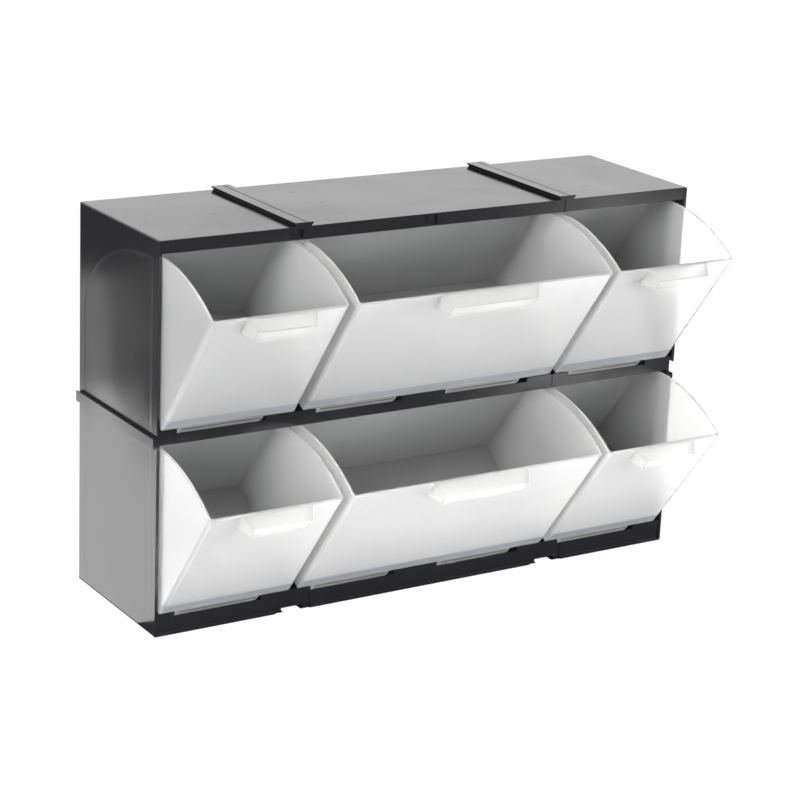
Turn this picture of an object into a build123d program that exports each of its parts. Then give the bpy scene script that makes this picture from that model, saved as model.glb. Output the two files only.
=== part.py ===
"""Parts cabinet: one moulded housing and six tilt-out bins, three in each of two rows.

Millimetres. X runs to the right, Y to the back and Z up. The origin is the centre of the housing's
underside. The bins stand tipped out, as far as their stops let them.
"""
import math
import os

from build123d import *

# Housing
width = 300.0
depth = 83.4
height = 192.2
side_wall = 1.5
plate = 2.0
band_thickness = 1.8
corner_round = 0.8

left = -width / 2
right = width / 2
front = -depth / 2
back = depth / 2

# Rows. The bars across the front: their lower and upper edges.
row_pitch = 90.8
base_bar = (0.0, 11.4)
middle_bar = (95.0, base_bar[1] + row_pitch)
top_bar = (185.9, height)
rows = {"lower": base_bar[1], "upper": middle_bar[1]}

# Hinge: the bead's axis lies behind the front plane and below the bar's upper edge.
hinge_back = 1.8
hinge_drop = 2.05
hinge_y = front + hinge_back
shelf_below_hinge = 0.05
shelf_thickness = 1.95
lip_below_hinge = 0.15
groove_below_hinge = 0.95
groove_front = 1.0
groove_rear = 1.3
ledge_depth = 4.5
rest_rib = (61.5, 64.5)

# Bins. A distance along a bin runs back from its hinge, and a height up from it, with the bin shut.
bin_lefts = {"left": left + 1.85, "middle": left + 76.8, "right": left + 223.7}
bin_widths = {"left": 70.2, "middle": 143.2, "right": 70.2}
open_angles = {"lower": 37.1, "upper": 36.0}
bin_wall = 1.3
panel_wall = 1.4
panel_face = -1.6
heel_height = 11.4
bottom_corner = (-0.4, 3.4)
bin_rear = 63.9
rear_bottom = 1.5
rim_centre = (0.5, -8.3)
rim_radius = 90.9
stop_height = 62.6
stop_root = 20.0
stop_clearance = 0.3
stop_rib = (-2.5, 0.8)
corner_fillet = 2.2
cavity_fillet = 1.0
past_rim = 10.0
arc_middle = 0.45

# Handle: a hood at the top of the panel, open below.
handle_roots = {"left": 36.6, "middle": 54.4, "right": 36.6}
handle_reach = 7.5
handle_taper = 3.2
handle_root_height = 9.2
handle_front_height = 5.8
handle_slope = 0.6
handle_wall = 1.3

# Hinge tabs: their start from the bin's left face, their length, and how far the pocket runs past
# them. Heights are taken from the hinge axis.
tabs = {
    "left": [(8.8, 45.0, 1.4)],
    "middle": [(8.0, 44.5, 3.2), (81.4, 43.8, 5.0)],
    "right": [(8.8, 45.0, 3.6)],
}
tab_foot = 0.5
tab_lip = 0.65
tab_slot = 0.5
tab_top = 3.2
tab_slant = 1.3
tab_block = 1.9
tab_recess = 1.3
tab_reach = 1.7
tab_rear = 0.65
bead_radius = 0.65
neck_half = 0.5
pocket_gap = 0.45

# Dovetails: half widths at the surface and at the tip, then the height.
top_rail = {"neck": 3.7, "tip": 4.9, "height": 1.9, "edge": 0.5}
side_rail = {"neck": 1.8, "tip": 2.6, "height": 1.9, "edge": 0.5}
base_groove = {"front": (4.9, 6.1), "back": (3.9, 5.1), "depth": 2.2}
side_groove = {"front": (3.0, 4.0), "back": (2.0, 2.8), "depth": 2.6}
rail_offset = 75.0
side_rail_z = height / 2
groove_flare = 0.55
groove_cover = 1.5
rail_line = {"offset": 1.2, "half": 0.3, "depth": 0.3}
past_surface = 0.4
past_end = 0.1

# Small features of the bars' faces. The windows and the seam are measured from the left corner.
window_starts = (67.3, 141.4)
window_size = (7.1, 4.6)
window_top = 1.0
window_depth = 1.3
tongue_radius = 2.2
tongue_front = 0.5
tongue_place = 0.45
seam_x = 223.3
seam_size = 0.4
end_recess = 0.3
end_recess_left = 8.5
end_recess_right = 14.0
face_sunk = (1.5, 7.6)
face_recess = 0.5
mouth_recess = {"half": 9.5, "top": 8.8, "depth": 0.9, "corner": 2.0}
witness_size = 0.3
witness_lines = [(-75.5, base_bar), (72.2, base_bar), (72.3, middle_bar), (-2.2, (95.0, 98.6))]


def hinge_z(row):
    """Height of a row's hinge axis."""
    return rows[row] - hinge_drop


def facing_front(y):
    """Plane across the cabinet at y, with X to the right and its second axis up."""
    return Plane(origin=(0, y, 0), x_dir=(1, 0, 0), z_dir=(0, -1, 0))


def turned_plane(x, row, angle):
    """Plane across a row's hinge axis at x, its first axis turned up from Y by the angle."""
    turn = math.radians(angle)
    axis = (0, math.cos(turn), math.sin(turn))
    return Plane(origin=(x, hinge_y, hinge_z(row)), x_dir=axis, z_dir=(1, 0, 0))


def block(x_range, y_range, z_range, mode=Mode.ADD):
    """Box between pairs of limits, for use inside a part."""
    low = Vector(x_range[0], y_range[0], z_range[0])
    high = Vector(x_range[1], y_range[1], z_range[1])
    with Locations((low + high) / 2):
        Box(*(high - low), mode=mode)


def pockets():
    """Left end, right end and row of each pocket for a hinge tab."""
    for row in rows:
        for place, row_tabs in tabs.items():
            for start, length, tail in row_tabs:
                tab_left = bin_lefts[place] + start
                yield tab_left - pocket_gap, tab_left + length + tail, row


def rail_outline(rail):
    """Points of a dovetail rail standing on the sketch's X axis, its right side then its left."""
    half = [
        (rail["neck"], -past_surface),
        (rail["neck"], 0),
        (rail["tip"], rail["height"] - rail["edge"]),
        (rail["tip"], rail["height"]),
    ]
    return half + [(-x, z) for x, z in reversed(half)]


def groove_outline(mouth, inner, groove_depth):
    """Points of a dovetail groove, widening up from the sketch's X axis."""
    flare = groove_depth * groove_flare
    half = [(mouth, -past_surface), (mouth, 0), (inner, flare), (inner, groove_depth)]
    return half + [(-x, z) for x, z in reversed(half)]


def make_housing():
    shelf_top = hinge_z("upper") - shelf_below_hinge
    ledge_top = hinge_z("lower") - shelf_below_hinge
    inner_x = (left + side_wall, right - side_wall)
    inner_y = (front + band_thickness, back - plate)

    with BuildPart() as housing:
        # Outer box, its four edges along the depth just rounded
        block((left, right), (front, back), (0, height))
        fillet(housing.edges().filter_by(Axis.Y), corner_round)

        # The two bays behind the bars, then the openings between the bars
        block(inner_x, inner_y, (plate, shelf_top - shelf_thickness), Mode.SUBTRACT)
        block(inner_x, inner_y, (shelf_top, height - plate), Mode.SUBTRACT)
        block(inner_x, (front, inner_y[0]), (base_bar[1], middle_bar[0]), Mode.SUBTRACT)
        block(inner_x, (front, inner_y[0]), (middle_bar[1], top_bar[0]), Mode.SUBTRACT)

        # Ledge behind the lowest bar, at the height that the shelf has in the row above
        block(inner_x, (inner_y[0], front + ledge_depth), (ledge_top - shelf_thickness, ledge_top))

        # Rib that the lower bins' floors come down on, as high as that ledge
        block(inner_x, (hinge_y + rest_rib[0], hinge_y + rest_rib[1]), (plate, ledge_top))

        # Rib under the top plate that the upper bins' back walls stop on
        reach = math.radians(open_angles["upper"])
        stop_top = bin_rear * math.sin(reach) + stop_height * math.cos(reach)
        stop_y = hinge_y + bin_rear * math.cos(reach) - stop_height * math.sin(reach)
        stop_z = hinge_z("upper") + stop_top + stop_clearance
        block(inner_x, (stop_y + stop_rib[0], stop_y + stop_rib[1]), (stop_z, height - plate))

        # Bosses that hold the grooves
        groove_top = base_groove["depth"] + groove_cover
        boss_half = base_groove["front"][1] + groove_cover
        for x in (-rail_offset, rail_offset):
            block((x - boss_half, x + boss_half), inner_y, (plate, groove_top))
        side_boss = side_groove["depth"] + groove_cover
        boss_half = side_groove["front"][1] + groove_cover
        side_boss_z = (side_rail_z - boss_half, side_rail_z + boss_half)
        block((right - side_boss, right - side_wall), (front, back), side_boss_z)

        # Pockets for the hinge tabs: a notch through the bar, and a groove behind a low lip
        for pocket_left, pocket_right, row in pockets():
            z = hinge_z(row)
            across = (pocket_left, pocket_right)
            lip_rear = hinge_y - groove_front
            block(across, (front, lip_rear), (z - lip_below_hinge, rows[row]), Mode.SUBTRACT)
            groove_y = (lip_rear, hinge_y + groove_rear)
            block(across, groove_y, (z - groove_below_hinge, rows[row]), Mode.SUBTRACT)

        # Dovetail rails, the whole depth of the box
        for x in (-rail_offset, rail_offset):
            with BuildSketch(Plane(origin=(x, front, height), x_dir=(1, 0, 0), z_dir=(0, -1, 0))):
                with BuildLine():
                    Polyline(*rail_outline(top_rail), close=True)
                make_face()
            extrude(amount=-depth)
            # Thin line along the rail's upper face
            line_x = x + rail_line["offset"]
            rail_face = height + top_rail["height"]
            line_across = (line_x - rail_line["half"], line_x + rail_line["half"])
            block(line_across, (front, back), (rail_face - rail_line["depth"], rail_face), Mode.SUBTRACT)
        with BuildSketch(Plane(origin=(left, front, side_rail_z), x_dir=(0, 0, 1), z_dir=(0, -1, 0))):
            with BuildLine():
                Polyline(*rail_outline(side_rail), close=True)
            make_face()
        extrude(amount=-depth)

        # Dovetail grooves, narrowing to the back so that the next cabinet's rails wedge in them
        for x in (-rail_offset, rail_offset):
            for y, end in ((front - past_end, "front"), (back + past_end, "back")):
                with BuildSketch(Plane(origin=(x, y, 0), x_dir=(1, 0, 0), z_dir=(0, -1, 0))):
                    with BuildLine():
                        Polyline(*groove_outline(*base_groove[end], base_groove["depth"]), close=True)
                    make_face()
            loft(mode=Mode.SUBTRACT)
        for y, end in ((front - past_end, "front"), (back + past_end, "back")):
            with BuildSketch(Plane(origin=(right, y, side_rail_z), x_dir=(0, 0, 1), z_dir=(0, -1, 0))):
                with BuildLine():
                    Polyline(*groove_outline(*side_groove[end], side_groove["depth"]), close=True)
                make_face()
        loft(mode=Mode.SUBTRACT)

        # Blind windows in the top bar, each with a half-round tongue
        window_high = height - window_top
        window_z = (window_high - window_size[1], window_high)
        for start in window_starts:
            x = left + start
            window_x = (x, x + window_size[0])
            block(window_x, (front, front + window_depth), window_z, Mode.SUBTRACT)
            with BuildSketch(facing_front(front + window_depth)):
                with Locations((x + window_size[0] * tongue_place, window_high)):
                    Circle(tongue_radius)
                    above = 2 * tongue_radius
                    Rectangle(above, above, align=(Align.CENTER, Align.MIN), mode=Mode.SUBTRACT)
            extrude(amount=window_depth - tongue_front)

        # Seam groove in the top bar, and the sunk ends of every bar
        x = left + seam_x
        block((x, x + seam_size), (front, front + seam_size), top_bar, Mode.SUBTRACT)
        for bar in (base_bar, middle_bar, top_bar):
            low = bar[0] if bar is not base_bar else corner_round
            high = bar[1] if bar is not top_bar else height - corner_round
            for ends in (
                (left + side_wall, left + end_recess_left),
                (right - end_recess_right, right - side_wall),
            ):
                block(ends, (front, front + end_recess), (low, high), Mode.SUBTRACT)

        # Sunk face of the lowest bar inside its rim, and a deeper one round each groove's mouth
        block(inner_x, (front, front + face_recess), face_sunk, Mode.SUBTRACT)
        for x in (-rail_offset, rail_offset):
            with BuildSketch(Plane(origin=(x, front, 0), x_dir=(1, 0, 0), z_dir=(0, -1, 0))):
                mouth_size = (2 * mouth_recess["half"], 2 * mouth_recess["top"])
                RectangleRounded(*mouth_size, radius=mouth_recess["corner"])
            extrude(amount=-mouth_recess["depth"], mode=Mode.SUBTRACT)

        # Thin upright lines that the mould's inserts left on the bars
        for x, heights in witness_lines:
            line_across = (x - witness_size / 2, x + witness_size / 2)
            block(line_across, (front, front + face_recess + witness_size), heights, Mode.SUBTRACT)

    housing.part.label = "housing"
    return housing.part


def make_cavity(place, row):
    """The hollow of a bin, running out past its rim."""
    inner_width = bin_widths[place] - 2 * bin_wall
    floor_front = bottom_corner[1] + bin_wall
    floor_rear = rear_bottom + bin_wall
    rear = bin_rear - bin_wall
    face = panel_face + panel_wall
    plane = turned_plane(bin_lefts[place] + bin_wall, row, open_angles[row])
    with BuildPart() as cavity:
        with BuildSketch(plane):
            with BuildLine():
                Polyline(
                    (bottom_corner[0] + panel_wall, floor_front),
                    (face, heel_height),
                    (face, rim_radius + past_rim),
                    (rear, rim_radius + past_rim),
                    (rear, floor_rear),
                    close=True,
                )
            make_face()
        extrude(amount=inner_width)
        upright = cavity.edges().filter_by(Axis(plane.origin, plane.y_dir))
        fillet(upright, cavity_fillet)
    return cavity.part


def make_handle_core(place, row):
    """The hollow under a handle's hood."""
    centre = bin_lefts[place] + bin_widths[place] / 2
    root = handle_roots[place] / 2 - handle_wall
    with BuildPart() as core:
        plane = turned_plane(centre, row, open_angles[row])
        for distance, half in ((0, root), (handle_reach - handle_wall, root - handle_taper)):
            ceiling = rim_top() - handle_wall - handle_slope * distance / handle_reach
            origin = plane.from_local_coords((panel_face - distance, 0, 0))
            with BuildSketch(Plane(origin=origin, x_dir=(1, 0, 0), z_dir=-plane.x_dir)):
                with BuildLine():
                    Polyline(
                        (-half, ceiling - 2 * handle_root_height),
                        (half, ceiling - 2 * handle_root_height),
                        (half, ceiling),
                        (-half, ceiling),
                        close=True,
                    )
                make_face()
        loft()
    return core.part


def rim_top():
    """Height of the panel's upper edge above the hinge."""
    return rim_centre[1] + rim_radius


def rim_height(distance):
    """Height of the side walls' curved rim above the hinge, at a distance behind it."""
    return rim_centre[1] + math.sqrt(rim_radius**2 - (distance - rim_centre[0]) ** 2)


def make_bin(place, row):
    bin_width = bin_widths[place]
    start = bin_lefts[place]
    angle = open_angles[row]
    plane = turned_plane(start, row, angle)
    middle = bin_rear * arc_middle
    cavity = make_cavity(place, row)
    core = make_handle_core(place, row)

    with BuildPart() as tray:
        # Outer body: heel, upright panel, curved rim, back and floor
        with BuildSketch(plane):
            with BuildLine():
                Polyline(
                    (bin_rear, rim_height(bin_rear)),
                    (bin_rear, rear_bottom),
                    bottom_corner,
                    (panel_face, heel_height),
                    (panel_face, rim_height(panel_face)),
                )
                ThreePointArc(
                    (panel_face, rim_height(panel_face)),
                    (middle, rim_height(middle)),
                    (bin_rear, rim_height(bin_rear)),
                )
            make_face()
        extrude(amount=bin_width)
        upright = tray.edges().filter_by(Axis(plane.origin, plane.y_dir))
        fillet(upright, corner_fillet)

        # Back wall carried up past the rim as the stop
        with BuildSketch(plane.offset(corner_fillet)):
            with Locations((bin_rear - bin_wall, stop_height)):
                Rectangle(bin_wall, stop_root, align=(Align.MIN, Align.MAX))
        extrude(amount=bin_width - 2 * corner_fillet)

        # Hood of the handle, tapering away from the panel
        centre_plane = turned_plane(start + bin_width / 2, row, angle)
        root = handle_roots[place] / 2
        for distance, half, top, tall in (
            (0, root, rim_top(), handle_root_height),
            (handle_reach, root - handle_taper, rim_top() - handle_slope, handle_front_height),
        ):
            origin = centre_plane.from_local_coords((panel_face - distance, 0, 0))
            with BuildSketch(Plane(origin=origin, x_dir=(1, 0, 0), z_dir=-plane.x_dir)):
                with Locations((0, top)):
                    Rectangle(2 * half, tall, align=(Align.CENTER, Align.MAX))
        loft()
        add(core, mode=Mode.SUBTRACT)
        add(cavity, mode=Mode.SUBTRACT)

        # Hinge tabs: a bead on a neck, and before it a plate with a lip, a slot above the lip, a
        # block at its left and a slanted right end
        for tab_start, length, _ in tabs[place]:
            x = start + tab_start
            tab_plane = turned_plane(x, row, angle - open_angles["upper"])
            face = Plane(
                origin=tab_plane.from_local_coords((-tab_reach, 0, 0)),
                x_dir=(1, 0, 0),
                z_dir=-tab_plane.x_dir,
            )
            with BuildSketch(face):
                with BuildLine():
                    Polyline(
                        (0, tab_foot),
                        (length - tab_slant, tab_foot),
                        (length, tab_foot + tab_slant),
                        (length, tab_top),
                        (0, tab_top),
                        close=True,
                    )
                make_face()
            extrude(amount=-(tab_reach + tab_rear))
            slot_low = tab_foot + tab_lip
            with BuildSketch(face):
                with BuildLine():
                    Polyline(
                        (tab_block, slot_low),
                        (length - tab_slant, slot_low),
                        (length - tab_slant + tab_slot, slot_low + tab_slot),
                        (tab_block, slot_low + tab_slot),
                        close=True,
                    )
                make_face()
            extrude(amount=-tab_recess, mode=Mode.SUBTRACT)
            with BuildSketch(tab_plane):
                Circle(bead_radius)
                Rectangle(2 * neck_half, tab_foot + tab_lip, align=(Align.CENTER, Align.MIN))
            extrude(amount=length - tab_slant)

    tray.part.label = f"{row}_{place}_bin"
    return tray.part


os.makedirs("parts", exist_ok=True)
pieces = [make_housing()]
for row in rows:
    for place in bin_lefts:
        pieces.append(make_bin(place, row))
for piece in pieces:
    export_step(piece, f"parts/{piece.label}.step")
    print(piece.label, len(piece.solids()), round(piece.volume), piece.is_valid)
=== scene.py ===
from math import radians

import bpy
from mathutils import Matrix, Vector


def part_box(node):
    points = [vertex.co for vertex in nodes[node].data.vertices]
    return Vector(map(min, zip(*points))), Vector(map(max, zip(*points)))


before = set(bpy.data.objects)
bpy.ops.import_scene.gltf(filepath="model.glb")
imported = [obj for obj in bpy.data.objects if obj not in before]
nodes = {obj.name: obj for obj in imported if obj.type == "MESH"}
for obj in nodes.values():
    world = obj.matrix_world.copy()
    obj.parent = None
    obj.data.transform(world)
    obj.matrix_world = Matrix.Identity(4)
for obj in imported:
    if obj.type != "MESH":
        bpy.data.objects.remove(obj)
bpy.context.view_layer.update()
scene = bpy.context.scene
scene.view_settings.view_transform = "Standard"


# The camera stands in front of the cabinet and to its left, and looks down on it a little. Its place,
# its turn and its focal length come from matching the housing's corners and the bins' edges with the
# photograph.
camera_place = Vector((-0.6368, -1.0046, 0.4609))
camera_heading = 32.71
camera_drop = 17.49
camera_roll = 2.52
focal_length_px = 2467.3
photo_side_px = 800
sensor_width_mm = 36.0
nearest_seen = 0.02

camera_data = bpy.data.cameras.new("camera")
camera_data.sensor_width = sensor_width_mm
camera_data.lens = sensor_width_mm * focal_length_px / photo_side_px
camera_data.clip_start = nearest_seen
camera = bpy.data.objects.new("camera", camera_data)
camera.matrix_world = (
    Matrix.Translation(camera_place)
    @ Matrix.Rotation(radians(-camera_heading), 4, "Z")
    @ Matrix.Rotation(radians(90 - camera_drop), 4, "X")
    @ Matrix.Rotation(radians(camera_roll), 4, "Z")
)
scene.collection.objects.link(camera)
scene.camera = camera


# A sheet of white paper lies under the cabinet and runs on to the horizon. Seen straight or through
# the bins it is plain white with a little of its own shading, which keeps the cabinet's soft shadow.
# In the black walls' reflections it is dark, as in the photograph, except where a lamp lies on it.
paper_half_side = 6.0
paper_drop = 0.0003
paper_colour = (0.88, 0.88, 0.88, 1)
mirrored_paper_colour = (0.08, 0.08, 0.08, 1)
plain_white_strength = 1.05
plain_white_share = 0.9
mirrored_white_share = 0.02
before_first_bounce = 0.5


def add(tree, kind, inputs=None, **settings):
    """A new node with its settings, and its inputs linked from a socket or given a value."""
    made = tree.nodes.new(kind)
    for name, value in settings.items():
        setattr(made, name, value)
    for name, value in (inputs or {}).items():
        if isinstance(value, bpy.types.NodeSocket):
            tree.links.new(value, made.inputs[name])
        else:
            made.inputs[name].default_value = value
    return made


def calc(tree, operation, *values):
    """The result of a Math node on sockets or numbers."""
    return add(tree, "ShaderNodeMath", dict(enumerate(values)), operation=operation).outputs[0]


def blend_colours(tree, share, first, second):
    """The first colour with a share of the second over it, from a Mix node's colour sockets."""
    colour_sockets = {0: share, 6: first, 7: second}
    return add(tree, "ShaderNodeMix", colour_sockets, data_type="RGBA").outputs[2]


paper_mesh = bpy.data.meshes.new("paper")
corner = paper_half_side
paper_corners = [(-corner, -corner), (corner, -corner), (corner, corner), (-corner, corner)]
paper_mesh.from_pydata([(x, y, -paper_drop) for x, y in paper_corners], [], [(0, 1, 2, 3)])
paper = bpy.data.objects.new("paper", paper_mesh)
scene.collection.objects.link(paper)

paper_material = bpy.data.materials.new("paper")
paper_material.use_nodes = True
finish = paper_material.node_tree
finish.nodes.clear()
ray = add(finish, "ShaderNodeLightPath").outputs
tone = blend_colours(finish, ray["Is Glossy Ray"], paper_colour, mirrored_paper_colour)
lit_paper = add(finish, "ShaderNodeBsdfDiffuse", {"Color": tone})
white_inputs = {"Color": (1, 1, 1, 1), "Strength": plain_white_strength}
plain_white = add(finish, "ShaderNodeEmission", white_inputs)
straight = calc(finish, "LESS_THAN", ray["Diffuse Depth"], before_first_bounce)
seen = calc(finish, "MAXIMUM", ray["Is Camera Ray"], ray["Is Transmission Ray"])
seen_white = calc(finish, "MULTIPLY", seen, plain_white_share)
mirrored_white = calc(finish, "MULTIPLY", ray["Is Glossy Ray"], mirrored_white_share)
either_white = calc(finish, "MAXIMUM", seen_white, mirrored_white)
white_share = calc(finish, "MULTIPLY", either_white, straight)
blend_inputs = {"Fac": white_share, 1: lit_paper.outputs[0], 2: plain_white.outputs[0]}
blend = add(finish, "ShaderNodeMixShader", blend_inputs)
add(finish, "ShaderNodeOutputMaterial", {"Surface": blend.outputs[0]})
paper.data.materials.append(paper_material)


# The room is a white studio. It is plain white where the camera looks at it, straight, through a bin
# or in a reflection. As a light on the cabinet it is dimmer, so that the lamps shape the bins.
room_light = 0.3

world = bpy.data.worlds.new("studio")
world.use_nodes = True
scene.world = world
room = world.node_tree
room.nodes.clear()
ray = add(room, "ShaderNodeLightPath").outputs
dimming = {"Value": ray["Diffuse Depth"], "To Min": 1.0, "To Max": room_light}
room_strength = add(room, "ShaderNodeMapRange", dimming).outputs["Result"]
white_room = add(room, "ShaderNodeBackground", {"Color": (1, 1, 1, 1), "Strength": room_strength})
add(room, "ShaderNodeOutputWorld", {"Surface": white_room.outputs[0]})


# Softboxes stand in front of the cabinet, at both sides of it and above its front, and a strip on the
# paper lights the lower bins. The walls are so glossy that they show what stands round them, so a
# lamp behind the cabinet and four more strips on the paper are there for them to mirror.
middle_of_cabinet = (0, 0, 0.1)
middle_of_bins = (0, -0.08, 0.1)
top_of_cabinet = (0, 0, 0.19)
paper_before_cabinet = (0, -0.25, 0)
strip_height = 0.001


def softbox(name, place, aim, width, height, watts, turn=0.0, mirrored=False):
    """A rectangular lamp behind white cloth, turned towards a point on or near the cabinet."""
    data = bpy.data.lights.new(name, "AREA")
    data.shape = "RECTANGLE"
    data.size = width
    data.size_y = height
    data.energy = watts
    lamp = bpy.data.objects.new(name, data)
    towards = Vector(aim) - Vector(place)
    lamp.matrix_world = (
        Matrix.Translation(place)
        @ towards.to_track_quat("-Z", "Y").to_matrix().to_4x4()
        @ Matrix.Rotation(radians(turn), 4, "Z")
    )
    lamp.visible_camera = False
    lamp.visible_glossy = mirrored
    scene.collection.objects.link(lamp)


def floor_strip(name, x, y, width, length, watts, turn=0.0, mirrored=True):
    """A flat lamp lying on the paper and shining up."""
    straight_up = (x, y, 1)
    softbox(name, (x, y, strip_height), straight_up, width, length, watts, turn, mirrored)


softbox("front_left_softbox", (-1.7, -2.3, 0.45), middle_of_cabinet, 2.0, 0.8, 46)
softbox("front_right_softbox", (2.2, -1.7, 0.45), middle_of_cabinet, 2.0, 0.8, 90)
softbox("front_top_softbox", (0.0, -0.9, 1.3), paper_before_cabinet, 2.2, 1.4, 11)
softbox("left_softbox", (-1.2, -0.55, 0.85), middle_of_bins, 0.8, 0.5, 27)
softbox("right_softbox", (1.3, -0.45, 0.22), middle_of_bins, 0.6, 0.4, 18)
softbox("back_softbox", (1.03, 1.6, 0.79), top_of_cabinet, 1.8, 0.6, 1.1, mirrored=True)
floor_strip("front_floor_strip", 0.05, -0.135, 0.50, 0.10, 0.62, mirrored=False)
floor_strip("back_floor_strip", 0.35, 0.40, 0.80, 0.30, 0.7)
floor_strip("left_floor_strip", -0.218, 0.15, 0.12, 0.36, 0.31, turn=-6)
floor_strip("left_far_strip", -0.316, 0.463, 0.10, 0.28, 0.088, turn=-27)
floor_strip("right_floor_strip", 0.45, -0.51, 0.10, 0.60, 0.38, turn=-45)


# The black walls have rubbed edges and fine scratches, and both plastics carry some dust. These are
# shader groups, which put out masks and a normal for the materials to use.
def ramp(tree, value, low, high, to_low=0.0, to_high=1.0):
    """A value carried smoothly from one range to another."""
    ends = {"From Min": low, "From Max": high, "To Min": to_low, "To Max": to_high}
    inputs = {"Value": value, **ends}
    return add(tree, "ShaderNodeMapRange", inputs, interpolation_type="SMOOTHSTEP").outputs["Result"]


def noise(tree, place, scale, detail, distortion=0.0, roughness=0.5):
    """A cloudy pattern, as a value about a half."""
    inputs = {"Vector": place, "Scale": scale, "Detail": detail}
    inputs.update({"Distortion": distortion, "Roughness": roughness})
    return add(tree, "ShaderNodeTexNoise", inputs).outputs["Fac"]


def new_group(name, inputs, outputs):
    """An empty shader group with named sockets: a default of None makes a vector input."""
    group = bpy.data.node_groups.new(name, "ShaderNodeTree")
    for socket, default in inputs.items():
        kind = "NodeSocketVector" if default is None else "NodeSocketFloat"
        made = group.interface.new_socket(name=socket, in_out="INPUT", socket_type=kind)
        if default is not None:
            made.default_value = default
    for socket in outputs:
        kind = "NodeSocketVector" if socket == "Normal" else "NodeSocketFloat"
        group.interface.new_socket(name=socket, in_out="OUTPUT", socket_type=kind)
    return group, add(group, "NodeGroupInput").outputs, add(group, "NodeGroupOutput").inputs


def use_group(tree, group, inputs):
    """A group placed in a material with its own values, as its outputs."""
    return add(tree, "ShaderNodeGroup", inputs, node_tree=group).outputs


# An edge counts as rubbed where its rounded normal leaves the face's own, more in some patches
likeness_at_edge = (0.995, 0.8)
patch_range = (0.3, 0.65)
rub_in_patches = (0.35, 1.0)

edge_group, given, result = new_group(
    "rubbed_edges", {"Vector": None, "Radius": 0.0004, "Patchiness": 90.0}, ["Edge", "Normal"]
)
rounded = add(edge_group, "ShaderNodeBevel", {"Radius": given["Radius"]}, samples=3).outputs[0]
flat = add(edge_group, "ShaderNodeNewGeometry").outputs["Normal"]
likeness = add(edge_group, "ShaderNodeVectorMath", {0: rounded, 1: flat}, operation="DOT_PRODUCT")
bent = ramp(edge_group, likeness.outputs["Value"], *likeness_at_edge)
patches = noise(edge_group, given["Vector"], given["Patchiness"], detail=2.0)
rub = ramp(edge_group, patches, *patch_range, *rub_in_patches)
edge_group.links.new(calc(edge_group, "MULTIPLY", bent, rub), result["Edge"])
edge_group.links.new(rounded, result["Normal"])

# Scratches are the highest parts of a noise that is squeezed across them, in two directions
scratch_directions = {26.0: (0.5, 0.2, 0.5), 34.0: (-0.9, -0.36, -0.9)}
scratch_softness = 0.05

scratch_group, given, result = new_group(
    "fine_scratches", {"Vector": None, "Scale": 22.0, "Rarity": 0.66}, ["Scratch"]
)
both_ways = []
for squeeze, turn in scratch_directions.items():
    squeezed = {"Vector": given["Vector"], "Rotation": turn, "Scale": (1, 1, squeeze)}
    across = add(scratch_group, "ShaderNodeMapping", squeezed).outputs[0]
    hairs = noise(scratch_group, across, given["Scale"], detail=1.0, roughness=0.7)
    above = calc(scratch_group, "SUBTRACT", hairs, given["Rarity"])
    both_ways.append(ramp(scratch_group, above, 0.0, scratch_softness))
scratch_group.links.new(calc(scratch_group, "MAXIMUM", *both_ways), result["Scratch"])

# A share of the cells of a Voronoi pattern holds one speck of dust each, of its own size
dust_group, given, result = new_group(
    "dust", {"Vector": None, "Scale": 260.0, "Share": 0.12, "Size": 0.13}, ["Dust"]
)
cell_inputs = {"Vector": given["Vector"], "Scale": given["Scale"]}
cells = add(dust_group, "ShaderNodeTexVoronoi", cell_inputs).outputs
chance = add(dust_group, "ShaderNodeSeparateColor", {"Color": cells["Color"]}).outputs
settled = calc(dust_group, "LESS_THAN", chance[0], given["Share"])
grain_size = calc(dust_group, "MULTIPLY", chance[1], given["Size"])
speck = calc(dust_group, "LESS_THAN", cells["Distance"], grain_size)
dust_group.links.new(calc(dust_group, "MULTIPLY", settled, speck), result["Dust"])


# The housing is one moulding in black polystyrene. Its walls are glossy, gently wavy from shrinking
# in the mould, with fine scratches, dust and rubbed edges from use, their lighter colour partly a
# painted highlight. It stands loose on the paper.
housing = nodes["housing"]
row_pitch = 0.0908
black_plastic = (0.006, 0.006, 0.007, 1)
worn_and_highlit_plastic = (0.05, 0.05, 0.052, 1)
dust_colour = (0.40, 0.38, 0.35, 1)
polystyrene_ior = 1.59
rub_and_highlight_share = 0.25
dust_share = 0.5
smear_range = (0.35, 0.7)
wall_roughness = (0.13, 0.21)
scratch_roughness = 0.10
rub_roughness = 0.08
wave_depth = 0.0009
sink_depth = 0.000025
grain_depth = 0.0000015
scratch_depth = 0.000004

# Inside each side wall a curved rib guides the bins, and it shows outside as a shallow sink line
rib_centre_y = -0.030
rib_centre_z = 0.048
rib_reach_y = 0.0675
rib_reach_z = 0.0445
wall_back_line = 0.0385
wall_base_line = 0.0085
wall_front_line = -0.036
line_softness = 0.004
step_range = (-0.0025, 0.0015)
ridge_half_width = 0.0016
ridge_height = 0.5
facing_sideways = (0.9, 0.99)

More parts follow.
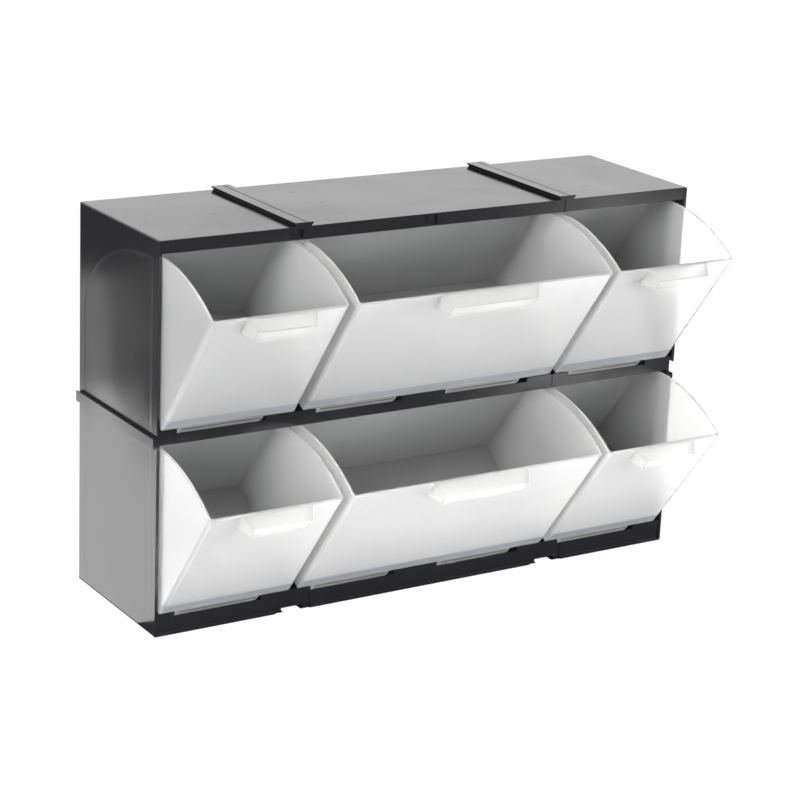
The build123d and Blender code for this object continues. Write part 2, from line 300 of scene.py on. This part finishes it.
sink_group, given, result = new_group("guide_rib_sink", {"Vector": None}, ["Height"])
place = add(sink_group, "ShaderNodeSeparateXYZ", {"Vector": given["Vector"]}).outputs
upper_row = calc(sink_group, "GREATER_THAN", place["Z"], row_pitch + wall_base_line - line_softness)
row_z = calc(sink_group, "SUBTRACT", place["Z"], calc(sink_group, "MULTIPLY", upper_row, row_pitch))
squares = []
for spot, centre, reach in ((place["Y"], rib_centre_y, rib_reach_y), (row_z, rib_centre_z, rib_reach_z)):
    from_middle = calc(sink_group, "DIVIDE", calc(sink_group, "SUBTRACT", spot, centre), reach)
    outward = calc(sink_group, "MAXIMUM", from_middle, 0.0)
    squares.append(calc(sink_group, "MULTIPLY", outward, outward))
from_centre = calc(sink_group, "SQRT", calc(sink_group, "ADD", *squares))
outside = calc(sink_group, "MULTIPLY", calc(sink_group, "SUBTRACT", from_centre, 1.0), rib_reach_z)
for beyond in (
    calc(sink_group, "SUBTRACT", place["Y"], wall_back_line),
    calc(sink_group, "SUBTRACT", wall_base_line, row_z),
    calc(sink_group, "SUBTRACT", wall_front_line, place["Y"]),
):
    outside = calc(sink_group, "SMOOTH_MAX", outside, beyond, line_softness)
step = ramp(sink_group, outside, *step_range)
from_line = calc(sink_group, "ABSOLUTE", outside)
ridge = ramp(sink_group, from_line, 0.0, ridge_half_width, ridge_height, 0.0)
sink_group.links.new(calc(sink_group, "ADD", step, ridge), result["Height"])


def relief(tree, layers, normal=None):
    """The normal of a surface with layers of height, each with its own depth in metres."""
    total = 0.0
    for height, depth in layers:
        total = calc(tree, "ADD", calc(tree, "MULTIPLY", height, depth), total)
    inputs = {"Height": total, "Distance": 1.0, "Strength": 1.0}
    if normal:
        inputs["Normal"] = normal
    return add(tree, "ShaderNodeBump", inputs).outputs["Normal"]


housing_material = bpy.data.materials.new("housing_polystyrene")
housing_material.use_nodes = True
finish = housing_material.node_tree
place = add(finish, "ShaderNodeTexCoord").outputs["Object"]
edges = use_group(finish, edge_group, {"Vector": place, "Radius": 0.0003, "Patchiness": 70.0})
scratch_inputs = {"Vector": place, "Scale": 70.0, "Rarity": 0.76}
scratches = use_group(finish, scratch_group, scratch_inputs)["Scratch"]
dust_inputs = {"Vector": place, "Scale": 210.0, "Share": 0.10, "Size": 0.11}
specks = use_group(finish, dust_group, dust_inputs)["Dust"]
smears = noise(finish, place, scale=16.0, detail=5.0, distortion=0.6)
waves = noise(finish, place, scale=11.0, detail=1.0)
grain = noise(finish, place, scale=900.0, detail=2.0)

# The edges are painted lighter: partly rubbed wear, partly a painted highlight along them
edge_wear_and_highlight = calc(finish, "MULTIPLY", edges["Edge"], rub_and_highlight_share)
colour = blend_colours(finish, edge_wear_and_highlight, black_plastic, worn_and_highlit_plastic)
dusty = calc(finish, "MULTIPLY", specks, dust_share)
colour = blend_colours(finish, dusty, colour, dust_colour)
rough = ramp(finish, smears, *smear_range, *wall_roughness)
rough = calc(finish, "ADD", rough, calc(finish, "MULTIPLY", scratches, scratch_roughness))
rough = calc(finish, "ADD", rough, calc(finish, "MULTIPLY", edges["Edge"], rub_roughness))

facing = add(finish, "ShaderNodeNewGeometry").outputs["Normal"]
facing_x = add(finish, "ShaderNodeSeparateXYZ", {"Vector": facing}).outputs["X"]
on_side = ramp(finish, calc(finish, "ABSOLUTE", facing_x), *facing_sideways)
rib_sink = use_group(finish, sink_group, {"Vector": place})["Height"]
sink = calc(finish, "MULTIPLY", rib_sink, on_side)
layers = [(waves, wave_depth), (sink, sink_depth), (grain, grain_depth), (scratches, scratch_depth)]

black = finish.nodes["Principled BSDF"]
black.inputs["IOR"].default_value = polystyrene_ior
finish.links.new(colour, black.inputs["Base Color"])
finish.links.new(rough, black.inputs["Roughness"])
finish.links.new(relief(finish, layers, edges["Normal"]), black.inputs["Normal"])
housing.data.materials.clear()
housing.data.materials.append(housing_material)


# Each bin is one moulding in milky polypropylene with 1.3 mm walls, which lets light through and
# blurs what is behind it. The beads along its heel turn in the grooves of the bar below it.
hinge_y = -0.0399
hinge_heights = {"lower": 0.00935, "upper": 0.10015}
open_angles = {"lower": 37.1, "upper": 36.0}
milky_plastic = (0.945, 0.945, 0.935, 1)
shaded_plastic = (0.72, 0.76, 0.83, 1)
# The handle is painted greyer than the rest of the bin, as painted shade that damps its brightness
handle_shade_colour = (0.80, 0.80, 0.79, 1)
# The colour of the painted shade in the slot of each hinge tab
slot_painted_shade = (0.10, 0.10, 0.105, 1)
polypropylene_ior = 1.49
clearness = 0.82
scatter_length = 0.003
cloud_range = (0.42, 0.75)
cloud_shade = (0.0, 0.16)
dull_patch_range = (0.3, 0.7)
bin_roughness = (0.14, 0.21)
flow_stretch = (1.0, 1.0, 3.0)
flow_depth = 0.00012

# Where the finish changes on a bin, from its hinge: the panel's back, the handle, painted greyer as
# shade, the bluish band of painted shade above the heel, the painted line of shade along the corner
# inside, and the narrow slot in each tab, painted dark as its shadow
panel_back = 0.0008
handle_front_of = -0.0021
band_low = 0.0060
band_high = 0.0113
band_low_softness = 0.0008
band_high_softness = 0.0003
corner_from_side = 0.0031
corner_line_core = 0.0001
corner_line_reach = 0.0004
slot_above_hinge = 0.0014
slot_half_height = 0.0003
slot_before_hinge = 0.00095
slot_half_depth = 0.0006

band_shade = 0.9
corner_shade = 0.35
speck_shade = 0.8

for row, hinge_z in hinge_heights.items():
    for place_in_row in ("left", "middle", "right"):
        one_bin = nodes[f"{row}_{place_in_row}_bin"]
        bin_low, bin_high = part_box(f"{row}_{place_in_row}_bin")
        half_width = (bin_high[0] - bin_low[0]) / 2
        bin_material = bpy.data.materials.new(f"{row}_{place_in_row}_bin_polypropylene")
        bin_material.use_nodes = True
        finish = bin_material.node_tree

        # Painted shade: the narrow slot above the lip of each hinge tab is painted dark, standing in for
        # the shadow inside it
        tipped = add(finish, "ShaderNodeTexCoord").outputs["Object"]
        tipped_part = add(finish, "ShaderNodeSeparateXYZ", {"Vector": tipped}).outputs
        slot_z = hinge_z + slot_above_hinge
        slot_y = hinge_y - slot_before_hinge
        at_slot_height = calc(finish, "COMPARE", tipped_part["Z"], slot_z, slot_half_height)
        at_slot_depth = calc(finish, "COMPARE", tipped_part["Y"], slot_y, slot_half_depth)
        in_slot = calc(finish, "MULTIPLY", at_slot_height, at_slot_depth)

        # The bin's own frame: X along its width, Y back and Z up from the hinge, its panel upright
        own_frame = {
            "Vector": tipped,
            "Location": (bin_low[0] + half_width, hinge_y, hinge_z),
            "Rotation": (radians(open_angles[row]), 0, 0),
        }
        own = add(finish, "ShaderNodeMapping", own_frame, vector_type="TEXTURE").outputs[0]
        part = add(finish, "ShaderNodeSeparateXYZ", {"Vector": own}).outputs
        in_front = calc(finish, "LESS_THAN", part["Y"], panel_back)
        on_handle = calc(finish, "LESS_THAN", part["Y"], handle_front_of)

        # Painted shade: a bluish band above the heel, darker than the rest of the panel
        above_low = ramp(finish, part["Z"], band_low, band_low + band_low_softness)
        top_from = band_high - band_high_softness
        top_to = band_high + band_high_softness
        below_high = ramp(finish, part["Z"], top_from, top_to, 1.0, 0.0)
        heel_shade_band = calc(finish, "MULTIPLY", calc(finish, "MULTIPLY", above_low, below_high), in_front)

        # Painted shade: a thin dark line along the inside corner of each side wall
        across = calc(finish, "ABSOLUTE", part["X"])
        off_corner = calc(finish, "SUBTRACT", half_width - corner_from_side, across)
        from_corner = calc(finish, "ABSOLUTE", off_corner)
        corner_shade_line = ramp(finish, from_corner, corner_line_core, corner_line_reach, 1.0, 0.0)
        corner_shade_line = calc(finish, "MULTIPLY", corner_shade_line, in_front)

        dust_inputs = {"Vector": own, "Scale": 230.0, "Share": 0.06, "Size": 0.10}
        specks = use_group(finish, dust_group, dust_inputs)["Dust"]
        clouds = noise(finish, own, scale=18.0, detail=2.0)
        stretched_inputs = {"Vector": own, "Scale": flow_stretch}
        stretched = add(finish, "ShaderNodeMapping", stretched_inputs).outputs[0]
        flow = noise(finish, stretched, scale=30.0, detail=1.0)

        # The clouds are a random tone and the specks are dust; the heel band and the corner line add
        # painted shade
        shade = ramp(finish, clouds, *cloud_range, *cloud_shade)
        for mask, strength in ((heel_shade_band, band_shade), (corner_shade_line, corner_shade), (specks, speck_shade)):
            shade = calc(finish, "ADD", shade, calc(finish, "MULTIPLY", mask, strength))
        shade = calc(finish, "MINIMUM", shade, 1.0)
        colour = blend_colours(finish, shade, milky_plastic, shaded_plastic)
        # Painted shade: the handle is painted greyer than the rest of the same moulding
        colour = blend_colours(finish, on_handle, colour, handle_shade_colour)
        # Painted shade in the slot of each tab
        colour = blend_colours(finish, in_slot, colour, slot_painted_shade)
        rough = ramp(finish, clouds, *dull_patch_range, *bin_roughness)

        milk = finish.nodes["Principled BSDF"]
        milk.inputs["IOR"].default_value = polypropylene_ior
        milk.inputs["Transmission Weight"].default_value = clearness
        milk.inputs["Subsurface Weight"].default_value = 1.0
        milk.inputs["Subsurface Radius"].default_value = (1, 1, 1)
        milk.inputs["Subsurface Scale"].default_value = scatter_length
        finish.links.new(colour, milk.inputs["Base Color"])
        finish.links.new(rough, milk.inputs["Roughness"])
        finish.links.new(relief(finish, [(flow, flow_depth)]), milk.inputs["Normal"])
        one_bin.data.materials.clear()
        one_bin.data.materials.append(bin_material)
